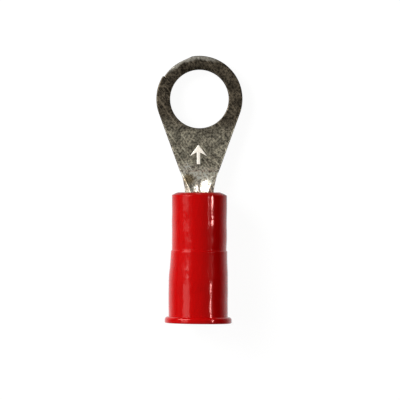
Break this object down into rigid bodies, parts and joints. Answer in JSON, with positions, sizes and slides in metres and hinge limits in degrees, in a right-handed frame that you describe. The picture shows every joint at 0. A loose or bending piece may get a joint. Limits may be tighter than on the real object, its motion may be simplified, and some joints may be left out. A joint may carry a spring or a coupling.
{
  "type": "ring terminal",
  "caption": "Insulated crimp ring terminal: a flat ring tongue with a round stud hole, a curled neck, a rolled wire barrel inside a stepped, flanged plastic sleeve, and a metal insulation grip.",
  "frame": {"origin": "centre of the stud hole on the underside of the tongue, the face that lies on the terminal block", "axes": "+Z is the axis of the stud, up out of the tongue's upper face; the ring's tip points along +Y and the wire leaves along -Y; X runs across"},
  "size_m": [0.0074, 0.0232, 0.0059],
  "materials": {
    "tinned_copper": "tin-plated copper sheet, matt and a little stained, with fine specks",
    "red_nylon": "moulded red nylon, glossy",
    "tinned_brass": "tin-plated brass, drawn, satin"
  },
  "bodies": {
    "root": {"terminal": "tinned_copper", "insulator": "red_nylon", "grip_sleeve": "tinned_brass"}
  },
  "joints": []
}
